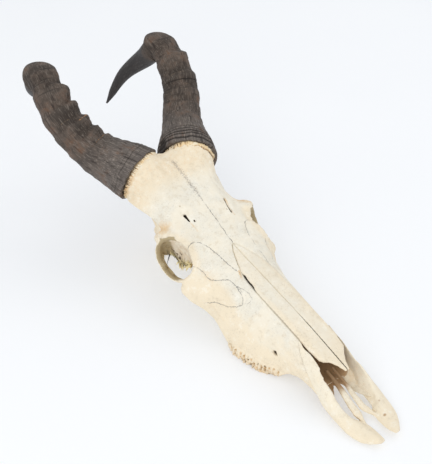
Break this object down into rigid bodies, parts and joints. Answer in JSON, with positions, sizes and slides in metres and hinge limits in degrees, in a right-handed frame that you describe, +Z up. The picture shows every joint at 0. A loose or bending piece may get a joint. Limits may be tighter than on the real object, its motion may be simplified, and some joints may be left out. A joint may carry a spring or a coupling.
{
  "type": "antelope skull with horns",
  "caption": "Dry antelope skull without lower jaw or teeth, long narrow face, open orbits and nose, and two ringed horns that rise sideways and hook backwards.",
  "frame": {"origin": "on the surface the skull lies on, below the middle of its outline seen from above", "axes": "+X to the animal's left, -Y towards the nose, +Z up"},
  "size_m": [0.2304, 0.6186, 0.2364],
  "materials": {
    "skull_bone": "dry cream bone, matt",
    "nasal_bone": "dry cream bone, matt",
    "jaw_bone": "dry ivory bone with a tan tint, matt",
    "horn": "dark grey-brown ridged horn, low sheen"
  },
  "bodies": {
    "root": {"skull": "skull_bone", "nasal_left": "nasal_bone", "nasal_right": "nasal_bone", "premaxilla_left": "jaw_bone", "premaxilla_right": "jaw_bone", "horn_left": "horn", "horn_right": "horn"}
  },
  "joints": []
}
